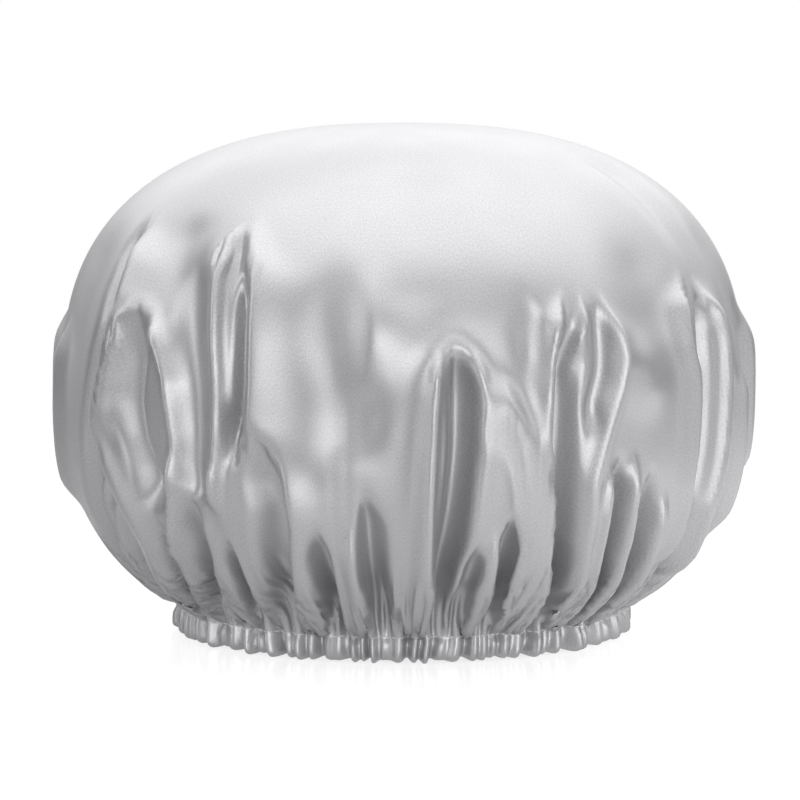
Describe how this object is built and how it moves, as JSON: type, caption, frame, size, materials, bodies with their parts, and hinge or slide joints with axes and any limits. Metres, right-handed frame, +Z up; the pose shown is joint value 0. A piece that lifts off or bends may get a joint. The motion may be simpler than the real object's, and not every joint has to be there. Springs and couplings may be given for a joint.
{
  "type": "shower cap",
  "caption": "Full round shower cap of silver satin with a waterproof film lining, gathered at its opening on an elastic sewn into a turned-up hem.",
  "frame": {"origin": "on the surface that the hem stands on, under the middle of the cap", "axes": "+X to the right as the picture sees the cap, -Y to the front, +Z up to the crown"},
  "size_m": [0.255, 0.2394, 0.185],
  "materials": {
    "satin": "silver polyester satin, lustrous face out",
    "lining_film": "milky waterproof film, soft gloss",
    "elastic": "white braided elastic",
    "thread": "silver-grey polyester sewing thread"
  },
  "bodies": {
    "cap": {"satin_shell": "satin", "waterproof_lining": "lining_film", "hem_needle_thread": "thread", "hem_bobbin_thread": "thread"},
    "elastic": {"elastic_band": "elastic", "elastic_join_stitch": "thread"}
  },
  "joints": [
    {"name": "hem_stretch", "type": "slide", "parent": "cap", "child": "elastic", "axis": [0, 1, 0], "range_m": [0, 0.08], "stiffness_N_per_m": 25, "deforming": ["elastic_band", "satin_shell", "waterproof_lining", "hem_needle_thread", "hem_bobbin_thread"]}
  ]
}
